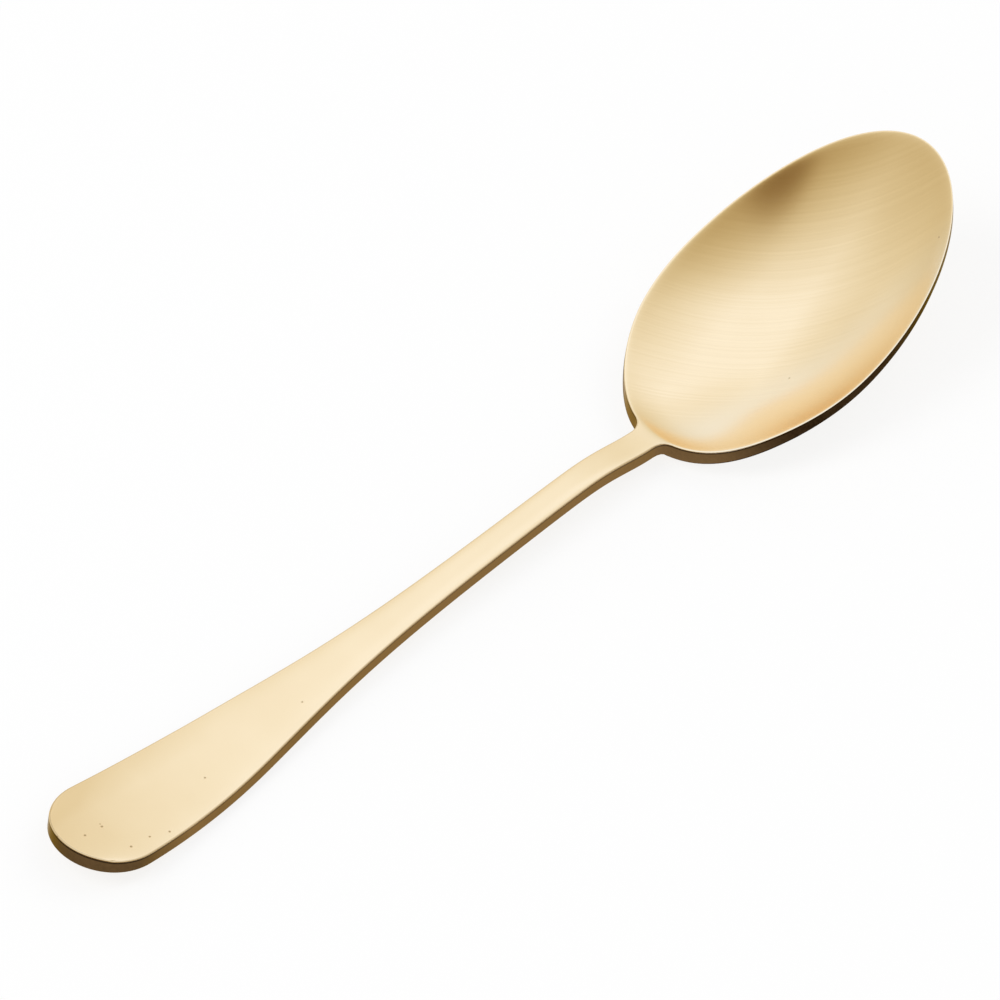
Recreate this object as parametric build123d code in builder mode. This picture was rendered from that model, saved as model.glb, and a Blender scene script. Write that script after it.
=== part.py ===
from build123d import *
import os
from math import cos, exp, hypot, pi, radians, sqrt, tan

os.makedirs("parts", exist_ok=True)

# Driving dimensions in millimetres and degrees. X runs from the end of the handle to the
# tip of the bowl, Y is the width and Z is up from the table that the spoon lies on.

# Outline of the upper face, seen from above
overall_length = 205.0
handle_width = 21.4  # at its widest, near the end
neck_width = 5.6
handle_end_length = 10.5  # the rounded end
flare_middle = 46.0  # where the handle is halfway between its widths
flare_softness = 14.0
bowl_width = 46.6
bowl_back_length = 31.0  # from the widest place back to the neck
bowl_front_length = 37.0  # from the widest place to the tip
notch_radius = 3.0  # the inside corner between neck and bowl

# Side view, along the middle of the handle and the rim of the bowl
handle_angle = 2.85  # the straight part of the handle against the table
end_lift = 6.0  # how far the end of the handle turns up
end_lift_length = 40.0
neck_dip = 3.2  # how far the neck bends down towards the bowl
neck_dip_length = 10.5
rim_angle = 1.7  # the rim at the neck against the straight part of the handle
rim_bend_length = 9.0
rim_radius = 156.0  # the upward curve of the rim towards the tip
bowl_depth = 10.5
bowl_lip = 0.42  # how softly the hollow runs out at the rim

# Thickness, square to the sheet
handle_thickness = 3.0
bowl_thickness = 1.6
thinning_length = 6.0  # how gradually the neck thins into the bowl
thinning_offset = 9.0  # from the back of the bowl to the middle of the thinning

# Fineness of the two curved faces
length_steps = 82
width_steps = 24
outline_end_steps = 8
outline_flare_steps = 16
surface_tolerance = 0.001
lowest_degree = 3
highest_degree = 8
slope_step = 0.05
sheet_share = 1.25  # the sheet before it is thinned, as a share of the handle's thickness
overrun = 4.0  # how far the two curved faces reach past the outline
blank_reach = 50.0  # how far the blank reaches above and below the table

bowl_centre = overall_length - bowl_front_length
bowl_back = bowl_centre - bowl_back_length
half_bowl = bowl_width / 2
half_neck = neck_width / 2


def ramp(distance, softness):
    """Nought behind the start and the distance itself beyond it, with a soft corner."""
    return (distance + hypot(distance, softness)) / 2


def flare(x):
    """Share of the handle's flare at x, one at the end and nought at the neck."""
    widest = 1 / (1 + exp((handle_end_length - flare_middle) / flare_softness))
    return 1 / (1 + exp((x - flare_middle) / flare_softness)) / widest


def handle_half_width(x):
    """Half the width of the handle, with its rounded end."""
    half = half_neck + (handle_width / 2 - half_neck) * flare(x)
    inside_end = max(1 - x / handle_end_length, 0)
    return half * sqrt(1 - inside_end**2)


def rim_height(x):
    """Height of the handle's middle line, which runs on as the rim of the bowl."""
    past_neck = x - bowl_back
    height = tan(radians(handle_angle)) * x
    height += end_lift * max(1 - x / end_lift_length, 0) ** 2
    height -= neck_dip * exp(-((past_neck / neck_dip_length) ** 2))
    height += tan(radians(rim_angle)) * ramp(past_neck, rim_bend_length)
    height += ramp(past_neck, rim_bend_length / 2) ** 2 / (2 * rim_radius)
    return height


def hollow(x, y):
    """Depth of the bowl's hollow below the rim, running out softly past the rim."""
    half_length = bowl_back_length if x < bowl_centre else bowl_front_length
    inside = 1 - ((x - bowl_centre) / half_length) ** 2 - (y / half_bowl) ** 2
    return bowl_depth * ramp(inside, bowl_lip / bowl_depth)


def upper_height(x, y):
    """Height of the upper face."""
    return rim_height(x) - hollow(x, y)


def slope(x, y):
    """Steepness of the upper face, along X and along Y."""
    along = upper_height(x + slope_step, y) - upper_height(x - slope_step, y)
    across = upper_height(x, y + slope_step) - upper_height(x, y - slope_step)
    return along / (2 * slope_step), across / (2 * slope_step)


def thickness(x):
    """Thickness of the metal, square to the sheet."""
    past = (x - bowl_back - thinning_offset) / thinning_length
    return bowl_thickness + (handle_thickness - bowl_thickness) / (1 + exp(past))


def lower_height(x, y):
    """Height of the lower face, the thickness of the metal below the upper one."""
    along, across = slope(x, y)
    return upper_height(x, y) - thickness(x) * sqrt(1 + along**2 + across**2)


def curved_face(height):
    """A smooth face through the heights of a grid that reaches past the outline."""
    first_x = -overrun
    step_x = (overall_length + 2 * overrun) / length_steps
    first_y = -half_bowl - overrun
    step_y = (bowl_width + 2 * overrun) / width_steps
    rows = []
    for row in range(length_steps + 1):
        x = first_x + row * step_x
        across = [first_y + column * step_y for column in range(width_steps + 1)]
        rows.append([Vector(x, y, height(x, y)) for y in across])
    return Face.make_surface_from_array_of_points(
        rows, tol=surface_tolerance, min_deg=lowest_degree, max_deg=highest_degree
    )


def handle_edge():
    """Points along one side of the handle, from the middle of its end to the neck."""
    points = []
    for step in range(outline_end_steps):
        turn = pi / 2 * step / outline_end_steps
        points.append(handle_end_length * (1 - cos(turn)))
    flare_length = bowl_back + notch_radius - handle_end_length
    for step in range(outline_flare_steps + 1):
        points.append(handle_end_length + flare_length * step / outline_flare_steps)
    return [(x, handle_half_width(x)) for x in points]


upper_face = curved_face(upper_height)
lower_face = curved_face(lower_height)

# The blank has the outline of the spoon and is cut off along its upper face
with BuildPart() as blank:
    with BuildSketch(Plane.XY.offset(-blank_reach)):
        with BuildLine():
            side = Spline(*handle_edge(), tangents=[(0, 1), (1, 0)])
            neck_end = Line(side @ 1, ((side @ 1).X, 0))
            Line(neck_end @ 1, (0, 0))
        make_face()
        with BuildLine():
            middle = (bowl_centre, 0)
            EllipticalCenterArc(middle, bowl_back_length, half_bowl, 90, arc_size=90)
            EllipticalCenterArc(middle, bowl_front_length, half_bowl, 0, arc_size=90)
            Line((bowl_back, 0), (overall_length, 0))
        make_face()
        mirror(about=Plane.XZ)
    extrude(amount=2 * blank_reach)
    corners = blank.edges().filter_by(Axis.Z)
    notches = corners.filter_by_position(Axis.X, bowl_back, bowl_back + notch_radius)
    fillet(notches, notch_radius)
    split(bisect_by=upper_face, keep=Keep.BOTTOM)

# The sheet hangs below the upper face, with its edges square to it, and the lower face
# then thins it from the handle to the bowl
with BuildPart() as sheet:
    top = blank.faces().sort_by(lambda face: face.normal_at().Z)[-1]
    thicken(top, amount=-sheet_share * handle_thickness, normal_override=(0, 0, 1))
    extrude(lower_face, amount=blank_reach, dir=(0, 0, -1), mode=Mode.SUBTRACT)

# The origin is on the table, under the middle of the spoon
box = sheet.part.bounding_box()
with BuildPart() as tablespoon:
    add(sheet.part.moved(Location((-box.center().X, -box.center().Y, -box.min.Z))))
tablespoon.part.label = "tablespoon"
export_step(tablespoon.part, "parts/tablespoon.step")
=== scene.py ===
from math import atan2, cos, exp, pi, radians, sin, tan

import bpy
from mathutils import Matrix, Vector


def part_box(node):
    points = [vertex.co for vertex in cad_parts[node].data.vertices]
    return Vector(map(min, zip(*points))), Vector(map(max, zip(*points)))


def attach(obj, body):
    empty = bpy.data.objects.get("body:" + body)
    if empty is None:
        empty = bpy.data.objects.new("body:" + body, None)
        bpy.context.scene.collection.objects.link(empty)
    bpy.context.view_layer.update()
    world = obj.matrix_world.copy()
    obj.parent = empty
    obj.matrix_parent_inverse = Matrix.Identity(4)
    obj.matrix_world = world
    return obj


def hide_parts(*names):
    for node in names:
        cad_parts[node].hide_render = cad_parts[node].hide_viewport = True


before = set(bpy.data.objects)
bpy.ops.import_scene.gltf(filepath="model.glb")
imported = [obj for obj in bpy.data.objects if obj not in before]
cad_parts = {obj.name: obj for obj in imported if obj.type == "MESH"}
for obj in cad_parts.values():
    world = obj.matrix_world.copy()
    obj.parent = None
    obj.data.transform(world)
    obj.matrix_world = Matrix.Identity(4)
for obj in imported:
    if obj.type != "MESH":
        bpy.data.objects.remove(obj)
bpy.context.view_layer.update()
spoon_low, spoon_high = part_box("tablespoon")

bl_info = {
    "name": "Gold Tablespoon",
    "version": (1, 0, 0),
    "blender": (4, 5, 0),
    "location": "View3D > Sidebar > Tablespoon",
    "description": "Stamps, presses and finishes a gold-toned tablespoon",
    "category": "Add Mesh",
}

MM = 0.001

# Places of a Mix node's sockets when it mixes colours
MIX_SHARE, MIX_FIRST, MIX_SECOND, MIX_RESULT = 0, 6, 7, 2


# Nodes


class Term:
    """A socket that formulas are written with. Each operator adds a Math node."""

    def __init__(self, tree, socket):
        self.tree = tree
        self.socket = socket

    def sum_of(self, operation, *values):
        made = self.tree.nodes.new("ShaderNodeMath")
        made.operation = operation
        for place, value in enumerate(values):
            if isinstance(value, Term):
                self.tree.links.new(value.socket, made.inputs[place])
            else:
                made.inputs[place].default_value = value
        return Term(self.tree, made.outputs[0])

    def __add__(self, other):
        return self.sum_of("ADD", self, other)

    def __radd__(self, other):
        return self.sum_of("ADD", other, self)

    def __sub__(self, other):
        return self.sum_of("SUBTRACT", self, other)

    def __rsub__(self, other):
        return self.sum_of("SUBTRACT", other, self)

    def __mul__(self, other):
        return self.sum_of("MULTIPLY", self, other)

    def __rmul__(self, other):
        return self.sum_of("MULTIPLY", other, self)

    def __truediv__(self, other):
        return self.sum_of("DIVIDE", self, other)

    def __rtruediv__(self, other):
        return self.sum_of("DIVIDE", other, self)

    def __neg__(self):
        return self.sum_of("MULTIPLY", self, -1.0)

    def over(self, limit):
        return self.sum_of("GREATER_THAN", self, limit)

    def at_least(self, limit):
        return self.sum_of("MAXIMUM", self, limit)

    def at_most(self, limit):
        return self.sum_of("MINIMUM", self, limit)

    def power(self, exponent):
        return self.sum_of("POWER", self, exponent)

    def root(self):
        return self.sum_of("SQRT", self)

    def exp(self):
        return self.sum_of("EXPONENT", self)


class NodeSet:
    """Adds any other node to a tree from its type, its settings and its sockets' values."""

    def __init__(self, tree):
        self.tree = tree

    def node(self, kind, settings=None, **values):
        made = self.tree.nodes.new(kind)
        for name, value in (settings or {}).items():
            setattr(made, name, value)
        for name, value in values.items():
            wanted = name.replace("_", " ").lower()
            socket = next(s for s in made.inputs if s.enabled and s.name.lower() == wanted)
            self.feed(socket, value)
        return made

    def feed(self, socket, value):
        if isinstance(value, Term):
            value = value.socket
        if isinstance(value, bpy.types.NodeSocket):
            self.tree.links.new(value, socket)
        else:
            socket.default_value = value

    def term(self, socket):
        return Term(self.tree, socket)

    def mix(self, share, first, second):
        made = self.tree.nodes.new("ShaderNodeMix")
        made.data_type = "RGBA"
        for place, value in ((MIX_SHARE, share), (MIX_FIRST, first), (MIX_SECOND, second)):
            self.feed(made.inputs[place], value)
        return made.outputs[MIX_RESULT]


# Sizes and finish that a user would change


class TablespoonSizes(bpy.types.PropertyGroup):
    """Sizes of the spoon. Lengths run along X from the end of the handle."""

    overall_length: bpy.props.FloatProperty(
        name="Length", description="End of the handle to the tip", default=0.205, unit="LENGTH"
    )
    handle_width: bpy.props.FloatProperty(
        name="Handle Width", description="Widest, near the end", default=0.0214, unit="LENGTH"
    )
    neck_width: bpy.props.FloatProperty(
        name="Neck Width", description="Narrowest, at the bowl", default=0.0056, unit="LENGTH"
    )
    handle_end_length: bpy.props.FloatProperty(
        name="Rounded End", description="Length of the rounded end", default=0.0105, unit="LENGTH"
    )
    flare_middle: bpy.props.FloatProperty(
        name="Flare Place", description="Middle of the flare", default=0.046, unit="LENGTH"
    )
    flare_softness: bpy.props.FloatProperty(
        name="Flare Softness", description="How gradual the flare is", default=0.014, unit="LENGTH"
    )
    bowl_width: bpy.props.FloatProperty(
        name="Bowl Width", description="Across the rim", default=0.0466, unit="LENGTH"
    )
    bowl_back_length: bpy.props.FloatProperty(
        name="Bowl Back", description="Widest place to the neck", default=0.031, unit="LENGTH"
    )
    bowl_front_length: bpy.props.FloatProperty(
        name="Bowl Front", description="Widest place to the tip", default=0.037, unit="LENGTH"
    )
    notch_radius: bpy.props.FloatProperty(
        name="Notch Radius", description="Corner of neck and bowl", default=0.003, unit="LENGTH"
    )
    bowl_depth: bpy.props.FloatProperty(
        name="Bowl Depth", description="Rim to the lowest place", default=0.0105, unit="LENGTH"
    )
    handle_thickness: bpy.props.FloatProperty(
        name="Handle Thickness", description="Metal of the handle", default=0.003, unit="LENGTH"
    )
    bowl_thickness: bpy.props.FloatProperty(
        name="Bowl Thickness", description="Metal of the bowl", default=0.0016, unit="LENGTH"
    )
    edge_radius: bpy.props.FloatProperty(
        name="Edge Radius", description="Rounding of the edges", default=0.0003, unit="LENGTH"
    )
    end_lift: bpy.props.FloatProperty(
        name="End Lift", description="How far the end turns up", default=0.006, unit="LENGTH"
    )
    neck_dip: bpy.props.FloatProperty(
        name="Neck Dip", description="How far the neck bends down", default=0.0032, unit="LENGTH"
    )
    rim_radius: bpy.props.FloatProperty(
        name="Rim Radius", description="Upward curve of the rim", default=0.156, unit="LENGTH"
    )
    handle_angle: bpy.props.FloatProperty(
        name="Handle Angle",
        description="Against the table",
        default=radians(2.85),
        unit="ROTATION",
    )
    rim_angle: bpy.props.FloatProperty(
        name="Rim Angle",
        description="Rim against the handle",
        default=radians(1.7),
        unit="ROTATION",
    )


class TablespoonFinish(bpy.types.PropertyGroup):
    """Colours and polish of the metal, with the colours of its painted shade and painted
    highlight.
    """

    gold: bpy.props.FloatVectorProperty(
        name="Gold",
        description="Polished metal",
        default=(1.0, 0.86, 0.63),
        size=3,
        subtype="COLOR",
    )
    deep_gold: bpy.props.FloatVectorProperty(
        name="Deep Gold",
        description="Darker tone",
        default=(0.88, 0.71, 0.45),
        size=3,
        subtype="COLOR",
    )
    # Painted highlight: the paler colour given to one wall of the bowl
    painted_highlight_gold: bpy.props.FloatVectorProperty(
        name="Pale Gold",
        description="Paler tone",
        default=(1.0, 0.95, 0.85),
        size=3,
        subtype="COLOR",
    )
    # Painted shade: the edge of the sheet is coloured dark in place of the dark surroundings it
    # would reflect; the pits take this colour too
    edge_shade_and_pits: bpy.props.FloatVectorProperty(
        name="Cut Edge",
        description="Edge of the sheet",
        default=(0.23, 0.135, 0.055),
        size=3,
        subtype="COLOR",
    )
    # Painted shade: the deeper shade of the edge, at the handle's end, along the bowl and in a
    # thin painted line
    deep_edge_shade: bpy.props.FloatVectorProperty(
        name="Dark Edge",
        description="Its darker tone",
        default=(0.02, 0.01, 0.004),
        size=3,
        subtype="COLOR",
    )
    handle_roughness: bpy.props.FloatProperty(
        name="Handle Roughness", description="Polish of the handle", default=0.2
    )
    bowl_roughness: bpy.props.FloatProperty(
        name="Bowl Roughness", description="Satin of the bowl", default=0.2
    )
    line_spacing: bpy.props.FloatProperty(
        name="Brush Lines", description="Space between brush lines", default=0.00035, unit="LENGTH"
    )


# The flat blank

HANDLE_CORNER = radians(50)  # where the row across the handle's end meets its sides
TIP_CORNER = radians(42)  # and the same at the tip of the bowl
ROW_STEP = 0.8 * MM
FINEST_STEP = 0.12 * MM  # at the handle's end and at the tip, where the edge is
STEP_GROWTH = 1.35
END_ROWS = 12 * MM  # how far the rounded rows reach in from the handle's end
TIP_ROWS = 30 * MM
COLUMNS = 56
CROWDING = 0.45  # how much closer the columns are along the sides
EDGE_STEPS = 6
EDGE_SHADE_MARKS = (0.4, 0.3, 0.0, 0.1, 0.7, 1.4)  # painted shade on the rounding, from the face (0) to the edge of the sheet (1) and a darker painted line (1.4); the 0.0 leaves a painted bright line
NOTCH_TRIES = 50  # halvings that find where the notch touches the handle
END_POINTS = 60  # points of the outline: round the end, along the handle, notch and bowl
HANDLE_POINTS = 200
NOTCH_POINTS = 24
BOWL_POINTS = 300
DARK_LINE = 0.35 * MM  # from the rounding down to where the painted dark line has faded


def handle_half_width(size, x):
    """Half the width of the handle, with its rounded end."""

    def flare(place):
        return 1 / (1 + exp((place - size.flare_middle) / size.flare_softness))

    neck = size.neck_width / 2
    half = neck + (size.handle_width / 2 - neck) * flare(x) / flare(size.handle_end_length)
    inside_end = max(1 - x / size.handle_end_length, 0)
    return half * (1 - inside_end**2) ** 0.5


def side_of_blank(size):
    """Points down one side, from the handle's end round the notch and the bowl to the tip."""
    centre = size.overall_length - size.bowl_front_length
    half_bowl = size.bowl_width / 2
    radius = size.notch_radius

    def bowl(turn):
        reach = size.bowl_front_length if turn < pi / 2 else size.bowl_back_length
        return Vector((centre + reach * cos(turn), half_bowl * sin(turn)))

    def notch(turn):
        reach = size.bowl_back_length
        out = Vector((half_bowl * cos(turn), reach * sin(turn))).normalized()
        return bowl(turn) + radius * out

    low, high = pi / 2, pi
    for _ in range(NOTCH_TRIES):
        turn = (low + high) / 2
        middle = notch(turn)
        if middle.y > handle_half_width(size, middle.x) + radius:
            low = turn
        else:
            high = turn
    middle = notch(turn)
    points = []
    for step in range(END_POINTS):
        corner = pi / 2 * step / END_POINTS
        points.append(size.handle_end_length * (1 - cos(corner)))
    run = middle.x - size.handle_end_length
    for step in range(HANDLE_POINTS + 1):
        points.append(size.handle_end_length + run * step / HANDLE_POINTS)
    side = [Vector((x, handle_half_width(size, x))) for x in points]
    touch = bowl(turn) - middle
    last = atan2(touch.y, touch.x)
    for step in range(1, NOTCH_POINTS):
        angle = -pi / 2 + (last + pi / 2) * step / NOTCH_POINTS
        side.append(middle + radius * Vector((cos(angle), sin(angle))))
    side += [bowl(turn * (1 - step / BOWL_POINTS)) for step in range(BOWL_POINTS + 1)]
    return side


def graded_places(length):
    """Distances along a line, close together at its ends and a row's step apart between."""
    gaps = [FINEST_STEP]
    while gaps[-1] * STEP_GROWTH < ROW_STEP:
        gaps.append(gaps[-1] * STEP_GROWTH)
    middle = length - 2 * sum(gaps)
    count = round(middle / ROW_STEP)
    gaps = gaps + [middle / count] * count + gaps[::-1]
    places = [0.0]
    for gap in gaps:
        places.append(places[-1] + gap)
    return places


def points_along(line):
    """Points along a line with their distances from its first point."""
    runs = [0.0]
    for a, b in zip(line, line[1:]):
        runs.append(runs[-1] + (b - a).length)
    made, place = [], 0
    places = graded_places(runs[-1])
    for wanted in places:
        while place < len(line) - 2 and runs[place + 1] < wanted:
            place += 1
        gap = runs[place + 1] - runs[place]
        share = (wanted - runs[place]) / gap if gap else 0
        made.append(line[place].lerp(line[place + 1], min(share, 1)))
    return made, places


def pulled_in(line, distance):
    """A line moved square to itself, to the right of the way it runs."""
    moved = []
    for index, point in enumerate(line):
        along = line[min(index + 1, len(line) - 1)] - line[max(index - 1, 0)]
        moved.append(point + distance * Vector((along.y, -along.x)).normalized())
    return moved


def row_arc(size, end, share):
    """A point of the outline across the handle's end or the tip, at a share from -1 to 1."""
    if end:
        turn = HANDLE_CORNER * abs(share)
        x = size.handle_end_length * (1 - cos(turn))
        y = handle_half_width(size, x)
    else:
        turn = TIP_CORNER * abs(share)
        x = size.overall_length - size.bowl_front_length * (1 - cos(turn))
        y = size.bowl_width / 2 * sin(turn)
    return Vector((x, -y if share < 0 else y))


def blank_grid(size):
    """Rows of points inside the rounded edge, curved like the outline at the two ends."""
    radius = size.edge_radius
    shares = [2 * column / COLUMNS - 1 for column in range(COLUMNS + 1)]
    shares = [(1 + CROWDING) * share - CROWDING * share**3 for share in shares]
    end_arc = [row_arc(size, True, share) for share in shares]
    tip_arc = [row_arc(size, False, share) for share in shares]
    side = [p for p in side_of_blank(size) if end_arc[-1].x < p.x < tip_arc[-1].x]
    side, places = points_along(pulled_in([end_arc[-1], *side, tip_arc[-1]], radius))
    end_arc = pulled_in(end_arc, radius)
    tip_arc = pulled_in(tip_arc[::-1], radius)[::-1]
    rows = []
    for corner, from_end in zip(side, places):
        from_tip = places[-1] - from_end
        near_end = max(1 - from_end / END_ROWS, 0) ** 2
        near_tip = max(1 - from_tip / TIP_ROWS, 0) ** 2
        row = []
        for share, end, tip in zip(shares, end_arc, tip_arc):
            point = Vector((corner.x, corner.y * share))
            for near, arc, edge in ((near_end, end, side[0]), (near_tip, tip, side[-1])):
                if near:
                    point += near * (arc - Vector((edge.x, edge.y * share)))
            row.append(point)
        rows.append(row)
    return rows, shares


def make_blank(size):
    """The flat stamped blank, with its edge, its painted shade marks and the places across it
    marked on its points.
    """
    rows, shares = blank_grid(size)
    high, wide = len(rows), len(shares)
    loop = [(0, column) for column in range(wide)]
    loop += [(row, wide - 1) for row in range(1, high)]
    loop += [(high - 1, column) for column in range(wide - 2, -1, -1)]
    loop += [(row, 0) for row in range(high - 2, 0, -1)]
    outline = [rows[row][column] for row, column in loop]
    outward = []
    for index, point in enumerate(outline):
        along = outline[(index + 1) % len(outline)] - outline[index - 1]
        outward.append(Vector((-along.y, along.x)).normalized())
    radius = size.edge_radius
    points, edge = [], []
    across = shares * high
    for row in rows:
        for point in row:
            points.append((point.x, point.y, 0.0))
            edge.append(0.0)
    rings = [[row * wide + column for row, column in loop]]
    depths = []
    for step in range(1, EDGE_STEPS + 1):
        turn = pi / 2 * step / EDGE_STEPS
        mark = EDGE_SHADE_MARKS[step - 1]
        depths.append((radius * (1 - sin(turn)), radius * (1 - cos(turn)), mark))
    depths.append((0.0, radius + DARK_LINE, 1.0))
    whole = size.handle_thickness
    depths += [(back, whole - deep, 1.0) for back, deep, _ in reversed(depths)]
    for back, deep, mark in depths:
        rings.append(list(range(len(points), len(points) + len(outline))))
        across += [across[corner] for corner in rings[0]]
        for point, out in zip(outline, outward):
            placed = point + (radius - back) * out
            points.append((placed.x, placed.y, -deep))
            edge.append(mark)
    under = len(points)
    across += shares * high
    for row in range(high):
        for column in range(wide):
            x, y, _ = points[row * wide + column]
            points.append((x, y, -whole))
            edge.append(0.0)
    rings.append([under + row * wide + column for row, column in loop])
    faces = []
    for row in range(high - 1):
        for column in range(wide - 1):
            a = row * wide + column
            faces.append((a, a + wide, a + wide + 1, a + 1))
            faces.append(tuple(under + k for k in (a, a + 1, a + wide + 1, a + wide)))
    for upper, lower in zip(rings, rings[1:]):
        for index in range(len(upper)):
            after = (index + 1) % len(upper)
            faces.append((upper[index], upper[after], lower[after], lower[index]))
    mesh = bpy.data.meshes.new("tablespoon_blank")
    mesh.from_pydata(points, [], faces)
    for name, values in (("edge", edge), ("across", across)):
        mesh.attributes.new(name, "FLOAT", "POINT").data.foreach_set("value", values)
    mesh.update()
    return mesh


# Bending and pressing

# Inputs of the press, each with the size that sets it, or None where press() works it out
PRESS_INPUTS = {
    "Bowl Centre": None,
    "Bowl Back": None,
    "Back Length": "bowl_back_length",
    "Front Length": "bowl_front_length",
    "Half Width": None,
    "Depth": "bowl_depth",
    "Handle Slope": None,
    "Rim Slope": None,
    "End Lift": "end_lift",
    "Neck Dip": "neck_dip",
    "Rim Radius": "rim_radius",
    "Handle Thickness": "handle_thickness",
    "Bowl Thickness": "bowl_thickness",
}
END_LIFT_LENGTH = 40 * MM
NECK_DIP_LENGTH = 10.5 * MM
RIM_BEND_LENGTH = 9 * MM
BOWL_LIP = 0.42 * MM
THINNING_LENGTH = 6 * MM
THINNING_OFFSET = 9 * MM
SLOPE_STEP = 0.1 * MM
CROWN = 0.4 * MM  # how far the handle's upper face rolls down at its sides
UPRIGHT_START = 16 * MM  # from the back of the bowl to where its edge begins to turn upright
UPRIGHT_LENGTH = 34 * MM
ROLL_BLEND = 20 * MM  # before the bowl, where the handle's rolled sides run out


def ramp(distance, softness):
    """Nought behind the start and the distance itself beyond it, with a soft corner."""
    return (distance + (distance * distance + softness * softness).root()) / 2.0


def rim_height(x, given):
    """Height of the handle's middle line, which runs on as the rim of the bowl."""
    past = x - given["Bowl Back"]
    inside_end = (1.0 - x / END_LIFT_LENGTH).at_least(0.0)
    dip = past / NECK_DIP_LENGTH
    bend = ramp(past, RIM_BEND_LENGTH / 2)
    return (
        given["Handle Slope"] * x
        + given["End Lift"] * inside_end * inside_end
        - given["Neck Dip"] * (-(dip * dip)).exp()
        + given["Rim Slope"] * ramp(past, RIM_BEND_LENGTH)
        + bend * bend / (2.0 * given["Rim Radius"])
    )


def upper_height(x, y, given):
    """Height of the upper face: the rim less the hollow of the bowl."""
    past = x - given["Bowl Centre"]
    front = past.over(0.0)
    reach = given["Back Length"] + (given["Front Length"] - given["Back Length"]) * front
    along = past / reach
    across = y / given["Half Width"]
    inside = 1.0 - along * along - across * across
    lip = BOWL_LIP / given["Depth"]
    soft = (inside + (inside * inside + lip * lip).root()) / 2.0
    return rim_height(x, given) - given["Depth"] * soft


def build_press(metal):
    """The node tree that bends and presses the blank into the spoon."""
    tree = bpy.data.node_groups.new("press_tablespoon", "GeometryNodeTree")
    tree.interface.new_socket("Geometry", in_out="INPUT", socket_type="NodeSocketGeometry")
    for name in PRESS_INPUTS:
        tree.interface.new_socket(name, in_out="INPUT", socket_type="NodeSocketFloat")
    tree.interface.new_socket("Geometry", in_out="OUTPUT", socket_type="NodeSocketGeometry")
    parts = NodeSet(tree)
    entry = parts.node("NodeGroupInput")
    given = {name: parts.term(entry.outputs[name]) for name in PRESS_INPUTS}
    place = parts.node("GeometryNodeInputPosition")
    split = parts.node("ShaderNodeSeparateXYZ", Vector=place.outputs[0])
    x, y, z = (parts.term(socket) for socket in split.outputs)
    height = upper_height(x, y, given)
    slope_x = (upper_height(x + SLOPE_STEP, y, given) - height) / SLOPE_STEP
    slope_y = (upper_height(x, y + SLOPE_STEP, given) - height) / SLOPE_STEP
    steep = (slope_x * slope_x + slope_y * slope_y + 1.0).root()
    thinning = (x - given["Bowl Back"] - THINNING_OFFSET) / THINNING_LENGTH
    extra = (given["Handle Thickness"] - given["Bowl Thickness"]) / (thinning.exp() + 1.0)
    depth = -z / given["Handle Thickness"] * (given["Bowl Thickness"] + extra) / steep
    past = x - given["Bowl Back"]
    square = (1.0 - (past - UPRIGHT_START) / UPRIGHT_LENGTH).at_least(0.0).at_most(1.0)
    lean = depth * square
    drop = depth * (square + (1.0 - square) * steep)
    stored = parts.node("GeometryNodeInputNamedAttribute", {"data_type": "FLOAT"}, Name="across")
    across = parts.term(stored.outputs[0])
    on_handle = (-past / ROLL_BLEND).at_least(0.0).at_most(1.0)
    rolled = across * across * across * across * on_handle
    drop = drop + rolled * CROWN * (1.0 + z / given["Handle Thickness"])
    pressed = parts.node(
        "ShaderNodeCombineXYZ", X=x + slope_x * lean, Y=y + slope_y * lean, Z=height - drop
    )
    moved = parts.node(
        "GeometryNodeSetPosition", Geometry=entry.outputs["Geometry"], Position=pressed.outputs[0]
    )
    whole = parts.node("GeometryNodeRealizeInstances", Geometry=moved.outputs[0])
    coated = parts.node("GeometryNodeSetMaterial", Geometry=whole.outputs[0], Material=metal)
    leave = parts.node("NodeGroupOutput")
    tree.links.new(coated.outputs[0], leave.inputs[0])
    return tree


def press(piece, size, metal):
    """Runs the press on the blank and keeps the result as a plain mesh."""
    tree = build_press(metal)
    centre = size.overall_length - size.bowl_front_length
    worked_out = {
        "Bowl Centre": centre,
        "Bowl Back": centre - size.bowl_back_length,
        "Half Width": size.bowl_width / 2,
        "Handle Slope": tan(size.handle_angle),
        "Rim Slope": tan(size.rim_angle),
    }
    worked = piece.modifiers.new("press", "NODES")
    worked.node_group = tree
    for item in tree.interface.items_tree:
        if item.in_out == "INPUT" and item.name in PRESS_INPUTS:
            named = PRESS_INPUTS[item.name]
            value = getattr(size, named) if named else worked_out[item.name]
            worked[item.identifier] = value
    bpy.context.view_layer.update()
    seen = piece.evaluated_get(bpy.context.evaluated_depsgraph_get())
    mesh = bpy.data.meshes.new_from_object(seen)
    piece.modifiers.clear()
    piece.data = mesh
    mesh.name = "tablespoon_metal"
    mesh.shade_smooth()


def rest_in_place(mesh):
    """Puts the spoon on the table, with the end of its handle where the CAD solid has it."""
    low = Vector([min(v.co[axis] for v in mesh.vertices) for axis in range(3)])
    shift = Vector((spoon_low.x - low.x, (spoon_low.y + spoon_high.y) / 2, -low.z))
    mesh.transform(Matrix.Translation(shift))
    mesh.update()


# Metal

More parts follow.
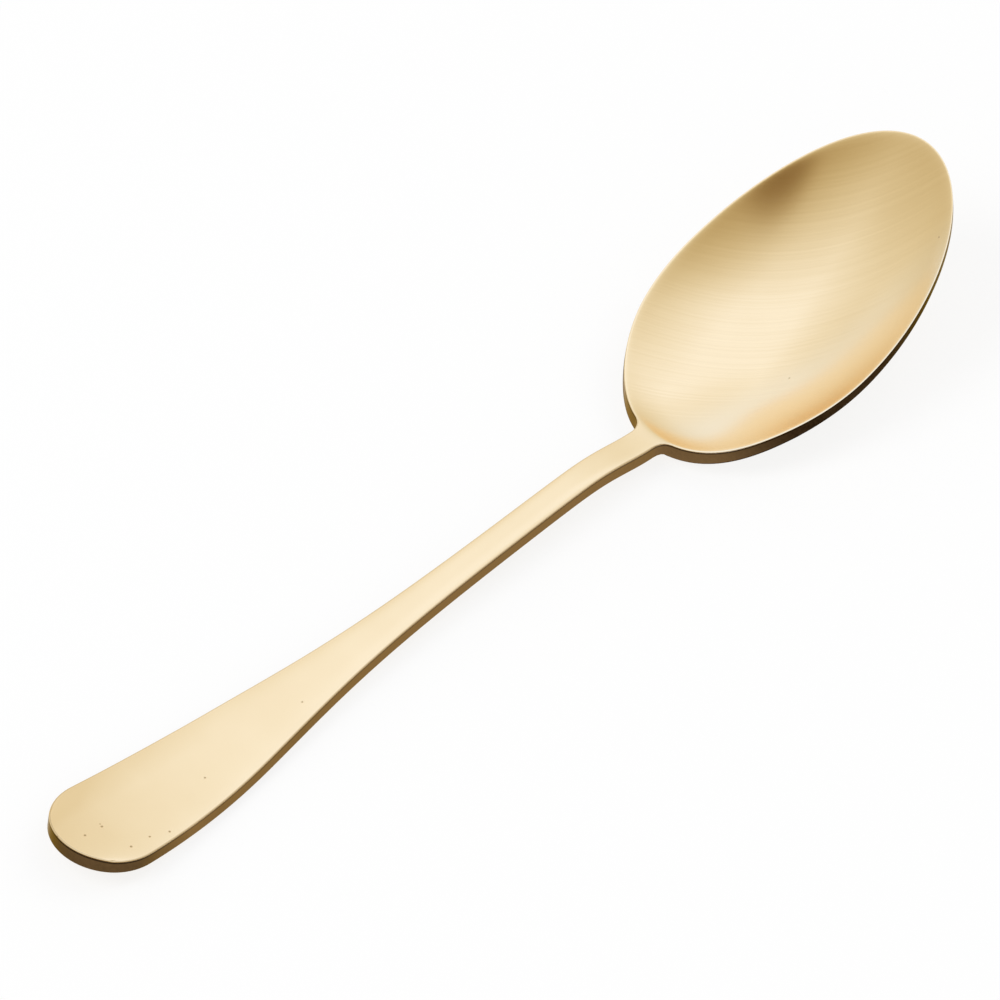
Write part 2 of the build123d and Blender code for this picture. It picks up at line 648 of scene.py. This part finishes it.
BRUSH_ANGLE = radians(45)  # of the brush lines against the spoon's length
BOWL_START = 32 * MM  # along X, where the satin bowl takes over from the handle
BOWL_BLEND = 8 * MM
EDGE_BLEND = 16 * MM  # over which the painted shade on the edge of the sheet grows along the bowl
BOWL_MIDDLE = 65.4 * MM
PALE_ALONG = 10.0  # per metre, towards the wall of the bowl painted paler as a painted highlight, at its back and one side
PALE_ACROSS = 38.0
PALE_START = 0.08
PALE_BLEND = 0.5
PALE_SHARE = 0.9
END_START = 82 * MM  # along -X, where the painted shade at the end of the handle begins
END_BLEND = 13 * MM
SHADE_AND_PITS_START = 60 * MM  # along -X, where the handle's pits and the painted shade on its far side begin
SHADE_AND_PITS_BLEND = 16 * MM
FAR_SIDE = 0.35  # how far from the handle's middle the painted shade on the far side begins
LINE_STRETCH = 6  # noise cells per metre along a brush line
CLOUD_SCALE = 45  # cells per metre of the soft patches
GRAIN_SCALE = 1800
PIT_SCALE = 260
PIT_SIZE = 0.075  # share of a cell
PIT_RARITY = 0.9  # only cells with a higher draw have a pit
WORN_IN_PITS = 0.6
PIT_SHARPNESS = 3.0
PIT_DARKNESS = 0.9
PIT_LESS_IN_BOWL = 0.45
PIT_SHARE = 0.6

# What adds to the deeper tone of the gold: random patches, brush lines and pits, and painted shade
# at the handle's end and along its far side
TONE_START = 0.15
CLOUD_IN_TONE = 0.8
LINES_IN_TONE = 0.55
END_SHADE_IN_TONE = 0.5
ONE_SIDE_SHADE_IN_TONE = 0.3
FAR_SIDE_SHADE_IN_TONE = 0.55

# What adds to the painted shade on the edge of the sheet; random patches vary it
BOWL_RIM_MARK = 0.72  # the edge mark up to which the bowl's rim gets no painted shade
END_IN_EDGE_SHADE = 0.55
BOWL_IN_EDGE_SHADE = 0.85
CLOUD_IN_EDGE_SHADE = 0.7
GRAIN_IN_EDGE_SHADE = 0.2
LINE_IN_EDGE_SHADE = 2.0

# What adds to the roughness and to the relief
CLOUD_IN_ROUGHNESS = 0.05
LINES_IN_ROUGHNESS = 0.05
PITS_IN_ROUGHNESS = 0.1
EDGE_IN_ROUGHNESS = 0.02
PALE_IN_ROUGHNESS = 0.03
LINES_IN_RELIEF = 0.22
GRAIN_IN_RELIEF = 0.12
PITS_IN_RELIEF = 2.5
BUMP_STRENGTH = 0.14
BUMP_DISTANCE = 0.06 * MM


def gold_metal(finish):
    """Gold-toned metal: polished handle, brushed satin bowl, small pits, painted shade on the edge
    of the sheet, at the handle's end and along its far side, and a painted highlight on one wall
    of the bowl.
    """
    metal = bpy.data.materials.new("gold_metal")
    metal.use_nodes = True
    metal.node_tree.nodes.clear()
    parts = NodeSet(metal.node_tree)
    place = parts.node("ShaderNodeTexCoord").outputs["Object"]
    split = parts.node("ShaderNodeSeparateXYZ", Vector=place)
    along, width = parts.term(split.outputs[0]), parts.term(split.outputs[1])
    bowl = ((along - BOWL_START) / BOWL_BLEND).at_least(0.0).at_most(1.0)
    edge = parts.term(parts.node("ShaderNodeAttribute", {"attribute_name": "edge"}).outputs["Fac"])
    stored = parts.node("ShaderNodeAttribute", {"attribute_name": "across"})
    across = parts.term(stored.outputs["Fac"])
    turned = parts.node("ShaderNodeMapping", Vector=place, Rotation=(0, 0, BRUSH_ANGLE))
    stretch = (LINE_STRETCH, 1 / finish.line_spacing, LINE_STRETCH)
    stretched = parts.node("ShaderNodeMapping", Vector=turned.outputs[0], Scale=stretch)

    def noise(vector, scale, detail):
        made = parts.node("ShaderNodeTexNoise", Vector=vector, Scale=scale, Detail=detail)
        return parts.term(made.outputs[0])

    lines = noise(stretched.outputs[0], 1, 3)
    cloud = noise(place, CLOUD_SCALE, 3)
    grain = noise(place, GRAIN_SCALE, 2)
    spots = parts.node("ShaderNodeTexVoronoi", Vector=place, Scale=PIT_SCALE)
    spot_distance = parts.term(spots.outputs["Distance"])
    draw = parts.node("ShaderNodeSeparateColor", Color=spots.outputs["Color"])
    # Masks of the painted shade at the handle's end, and of more pits with painted shade on the
    # far side towards the end
    shaded_end = ((-along - END_START) / END_BLEND).at_least(0.0).at_most(1.0)
    pits_and_side_shade = ((-along - SHADE_AND_PITS_START) / SHADE_AND_PITS_BLEND).at_least(0.0).at_most(1.0)
    rare = (parts.term(draw.outputs[0]) + pits_and_side_shade * WORN_IN_PITS).over(PIT_RARITY)
    pit = (1.0 - spot_distance / PIT_SIZE).at_least(0.0) * rare
    pit = (pit * PIT_SHARPNESS).at_most(1.0) * (PIT_DARKNESS - PIT_LESS_IN_BOWL * bowl)

    gold = (*finish.gold, 1)
    deep = (*finish.deep_gold, 1)
    # Painted shade colour of the edge of the sheet, also the colour of the pits
    pit_and_edge_shade = (*finish.edge_shade_and_pits, 1)
    tone = TONE_START + (cloud - 0.5) * CLOUD_IN_TONE + (lines - 0.5) * LINES_IN_TONE * bowl + pit
    shaded_far_side = ((across - FAR_SIDE) / (1.0 - FAR_SIDE)).at_least(0.0)
    # Painted shade: darker at the handle's end, more on one side of it, and darker along the far
    # side
    tone = tone + shaded_end * (END_SHADE_IN_TONE + across * ONE_SIDE_SHADE_IN_TONE)
    tone = (tone + pits_and_side_shade * shaded_far_side * FAR_SIDE_SHADE_IN_TONE).at_least(0.0)
    # Painted highlight: one wall of the bowl, at its back and one side, is painted paler
    toward_wall = (BOWL_MIDDLE - along) * PALE_ALONG - width * PALE_ACROSS
    highlight_wall = ((toward_wall - PALE_START) / PALE_BLEND).at_least(0.0).at_most(1.0)
    highlight_wall = highlight_wall * highlight_wall * (3.0 - highlight_wall * 2.0) * bowl
    base = parts.mix(tone.at_most(1.0), gold, deep)
    base = parts.mix(highlight_wall * PALE_SHARE, base, (*finish.painted_highlight_gold, 1))
    base = parts.mix(pit * PIT_SHARE, base, pit_and_edge_shade)
    # How much painted shade the edge of the sheet takes from its marks
    side = ((edge - BOWL_RIM_MARK * bowl) / (1.0 - BOWL_RIM_MARK * bowl)).at_least(0.0)
    bowl_edge = ((along - BOWL_START) / EDGE_BLEND).at_least(0.0).at_most(1.0)
    # Painted shade on the edge: deeper at the handle's end and along the bowl, varied by random
    # patches, deepest in the painted dark line
    edge_shade_share = shaded_end * END_IN_EDGE_SHADE + bowl_edge * BOWL_IN_EDGE_SHADE
    edge_shade_share = edge_shade_share + (cloud - 0.5) * CLOUD_IN_EDGE_SHADE + (grain - 0.5) * GRAIN_IN_EDGE_SHADE
    edge_shade_share = edge_shade_share + (edge - 1.0).at_least(0.0) * LINE_IN_EDGE_SHADE
    edge_shade_share = edge_shade_share.at_least(0.0).at_most(1.0)
    pit_and_edge_shade = parts.mix(edge_shade_share, pit_and_edge_shade, (*finish.deep_edge_shade, 1))
    base = parts.mix(side.at_most(1.0), base, pit_and_edge_shade)
    rough = finish.handle_roughness + (finish.bowl_roughness - finish.handle_roughness) * bowl
    rough = rough + (cloud - 0.5) * CLOUD_IN_ROUGHNESS + (lines - 0.5) * LINES_IN_ROUGHNESS * bowl
    rough = rough + pit * PITS_IN_ROUGHNESS + edge * EDGE_IN_ROUGHNESS
    rough = rough + highlight_wall * PALE_IN_ROUGHNESS
    relief = lines * bowl * LINES_IN_RELIEF + grain * GRAIN_IN_RELIEF - pit * PITS_IN_RELIEF
    bump = parts.node(
        "ShaderNodeBump", Strength=BUMP_STRENGTH, Distance=BUMP_DISTANCE, Height=relief
    )
    surface = parts.node(
        "ShaderNodeBsdfPrincipled",
        Base_Color=base,
        Metallic=1.0,
        Specular_Tint=deep,
        Roughness=rough,
        Normal=bump.outputs[0],
    )
    leave = parts.node("ShaderNodeOutputMaterial")
    metal.node_tree.links.new(surface.outputs[0], leave.inputs["Surface"])
    return metal


# Stage

CAMERA_TURN = radians(37.41)  # of the view against +Y, towards +X
CAMERA_HEIGHT = radians(48.51)
CAMERA_ROLL = radians(5.68)
CAMERA_DISTANCE = 3.0
PICTURE_WIDTH = 1000 / 5.6956 * MM  # at the spoon
AIM_RIGHT = -0.84 * MM
AIM_UP = 3.03 * MM
AIM = Vector((0, 0, 10 * MM))
SENSOR = 36.0
FLOOR_REACH = 2.5
FLOOR_GREY = 0.92
FLOOR_WHITE_SHARE = 0.78  # of the floor that shines white by itself
ROOM_FILL = 0.75  # strength of the room where only matt faces see it
ROOM_LEAST = 0.1

# Name, place, size and power of each lamp
LAMPS = (
    ("soft_lamp_left", (-0.9, 0.5, 1.5), 1.2, 9.0),
    ("soft_lamp_right", (1.1, -0.3, 1.4), 1.2, 5.0),
)

# Sides of the room that the lamps don't reach: how dim, how far from the middle of the side
# the dimness starts, and the way there, to the right, away from the camera and up
DIM_SIDES = (
    (0.61, -0.71, (0.38, -0.36, -0.85)),
    (0.76, -0.5, (-0.21, -0.73, -0.65)),
    (0.61, 0.65, (-0.82, 0.53, 0.23)),
    (0.9, 0.87, (0.16, 0.84, 0.52)),
    (8.5, 0.96, (-0.13, -0.76, 0.64)),
)
WARMTH = (0.72, 1.0, 1.75)  # how fast red, green and blue fade with the light


def camera_axes():
    """The camera's right, up and forward directions without its roll, and forward laid level."""
    level = Vector((sin(CAMERA_TURN), cos(CAMERA_TURN), 0))
    right = Vector((cos(CAMERA_TURN), -sin(CAMERA_TURN), 0))
    forward = cos(CAMERA_HEIGHT) * level - sin(CAMERA_HEIGHT) * Vector((0, 0, 1))
    up = sin(CAMERA_HEIGHT) * level + cos(CAMERA_HEIGHT) * Vector((0, 0, 1))
    return right, up, forward, level


def make_camera():
    right, up, forward, _ = camera_axes()
    rolled_right = cos(CAMERA_ROLL) * right - sin(CAMERA_ROLL) * up
    rolled_up = sin(CAMERA_ROLL) * right + cos(CAMERA_ROLL) * up
    target = AIM + AIM_RIGHT * rolled_right + AIM_UP * rolled_up
    spot = target - CAMERA_DISTANCE * forward
    lens = bpy.data.cameras.new("camera")
    lens.sensor_width = SENSOR
    lens.lens = SENSOR * CAMERA_DISTANCE / PICTURE_WIDTH
    camera = bpy.data.objects.new("camera", lens)
    bpy.context.scene.collection.objects.link(camera)
    turned = Matrix((rolled_right, rolled_up, -forward)).transposed().to_4x4()
    camera.matrix_world = Matrix.Translation(spot) @ turned
    bpy.context.scene.camera = camera


def white_rays(parts):
    """One for the rays that see the background: from the camera, in gloss and through glass."""
    path = parts.node("ShaderNodeLightPath")
    seen = parts.term(path.outputs["Is Camera Ray"]) + parts.term(path.outputs["Is Glossy Ray"])
    return (seen + parts.term(path.outputs["Is Transmission Ray"])).at_most(1.0)


def make_floor():
    reach = FLOOR_REACH
    corners = [(-reach, -reach, 0), (reach, -reach, 0), (reach, reach, 0), (-reach, reach, 0)]
    mesh = bpy.data.meshes.new("floor")
    mesh.from_pydata(corners, [], [(0, 1, 2, 3)])
    pale = bpy.data.materials.new("pale_floor")
    pale.use_nodes = True
    pale.node_tree.nodes.clear()
    parts = NodeSet(pale.node_tree)
    grey = (FLOOR_GREY, FLOOR_GREY, FLOOR_GREY, 1)
    matt = parts.node("ShaderNodeBsdfDiffuse", Color=grey)
    white = parts.node("ShaderNodeEmission", Color=(1, 1, 1, 1), Strength=1.0)
    both = parts.node("ShaderNodeMixShader", Fac=white_rays(parts) * FLOOR_WHITE_SHARE)
    pale.node_tree.links.new(matt.outputs[0], both.inputs[1])
    pale.node_tree.links.new(white.outputs[0], both.inputs[2])
    leave = parts.node("ShaderNodeOutputMaterial")
    pale.node_tree.links.new(both.outputs[0], leave.inputs["Surface"])
    mesh.materials.append(pale)
    floor = bpy.data.objects.new("floor", mesh)
    bpy.context.scene.collection.objects.link(floor)


def make_room():
    """White all round, fading to a warm dimness where the lamps don't reach."""
    right, _, _, level = camera_axes()
    world = bpy.data.worlds.new("room")
    world.use_nodes = True
    world.node_tree.nodes.clear()
    parts = NodeSet(world.node_tree)
    way = parts.node("ShaderNodeTexCoord").outputs["Generated"]

    def toward(side):
        made = parts.node("ShaderNodeVectorMath", {"operation": "DOT_PRODUCT"})
        world.node_tree.links.new(way, made.inputs[0])
        made.inputs[1].default_value = side
        return parts.term(made.outputs["Value"])

    light = 1.0
    for dimness, start, (to_right, away, up) in DIM_SIDES:
        side = (to_right * right + away * level + Vector((0, 0, up))).normalized()
        light = light - (toward(side) - start).at_least(0.0) * dimness
    light = light.at_least(ROOM_LEAST).at_most(1.0)
    red, green, blue = (light.power(fade) for fade in WARMTH)
    shade = parts.node("ShaderNodeCombineColor", Red=red, Green=green, Blue=blue).outputs[0]
    gloss = parts.term(parts.node("ShaderNodeLightPath").outputs["Is Glossy Ray"])
    colour = parts.mix(gloss, (1, 1, 1, 1), shade)
    strength = ROOM_FILL + white_rays(parts) * (1.0 - ROOM_FILL)
    back = parts.node("ShaderNodeBackground", Color=colour, Strength=strength)
    leave = parts.node("ShaderNodeOutputWorld")
    world.node_tree.links.new(back.outputs[0], leave.inputs["Surface"])
    bpy.context.scene.world = world


def make_lamp(name, spot, size, power):
    lamp = bpy.data.lights.new(name, "AREA")
    lamp.shape = "DISK"
    lamp.size = size
    lamp.energy = power
    made = bpy.data.objects.new(name, lamp)
    bpy.context.scene.collection.objects.link(made)
    facing = spot.to_track_quat("Z", "Y").to_matrix().to_4x4()
    made.matrix_world = Matrix.Translation(spot) @ facing
    made.visible_glossy = False


# Operators and panel


class TABLESPOON_OT_make_spoon(bpy.types.Operator):
    """Stamp the blank, press it into the spoon and give it its gold finish"""

    bl_idname = "tablespoon.make_spoon"
    bl_label = "Make Tablespoon"

    def execute(self, context):
        size = context.scene.tablespoon_sizes
        metal = gold_metal(context.scene.tablespoon_finish)
        piece = bpy.data.objects.new("tablespoon_metal", make_blank(size))
        context.scene.collection.objects.link(piece)
        press(piece, size, metal)
        rest_in_place(piece.data)
        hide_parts("tablespoon")
        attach(piece, "root")
        return {"FINISHED"}


class TABLESPOON_OT_make_stage(bpy.types.Operator):
    """Set up the camera, the pale floor, the room and the soft lamps"""

    bl_idname = "tablespoon.make_stage"
    bl_label = "Make Stage"

    def execute(self, context):
        context.scene.view_settings.view_transform = "Standard"
        make_camera()
        make_floor()
        make_room()
        for name, spot, size, power in LAMPS:
            make_lamp(name, Vector(spot), size, power)
        return {"FINISHED"}


class TABLESPOON_PT_panel(bpy.types.Panel):
    """Lists the sizes, the finish and the steps"""

    bl_label = "Tablespoon"
    bl_idname = "TABLESPOON_PT_panel"
    bl_space_type = "VIEW_3D"
    bl_region_type = "UI"
    bl_category = "Tablespoon"

    def draw(self, context):
        layout = self.layout
        for group in (context.scene.tablespoon_sizes, context.scene.tablespoon_finish):
            for name in group.__annotations__:
                layout.prop(group, name)
        layout.operator(TABLESPOON_OT_make_stage.bl_idname)
        layout.operator(TABLESPOON_OT_make_spoon.bl_idname)


CLASSES = (
    TablespoonSizes,
    TablespoonFinish,
    TABLESPOON_OT_make_spoon,
    TABLESPOON_OT_make_stage,
    TABLESPOON_PT_panel,
)


def register():
    for item in CLASSES:
        bpy.utils.register_class(item)
    bpy.types.Scene.tablespoon_sizes = bpy.props.PointerProperty(type=TablespoonSizes)
    bpy.types.Scene.tablespoon_finish = bpy.props.PointerProperty(type=TablespoonFinish)


def unregister():
    del bpy.types.Scene.tablespoon_finish
    del bpy.types.Scene.tablespoon_sizes
    for item in reversed(CLASSES):
        bpy.utils.unregister_class(item)


def main():
    register()
    bpy.ops.tablespoon.make_stage()
    bpy.ops.tablespoon.make_spoon()


if __name__ == "__main__":
    main()
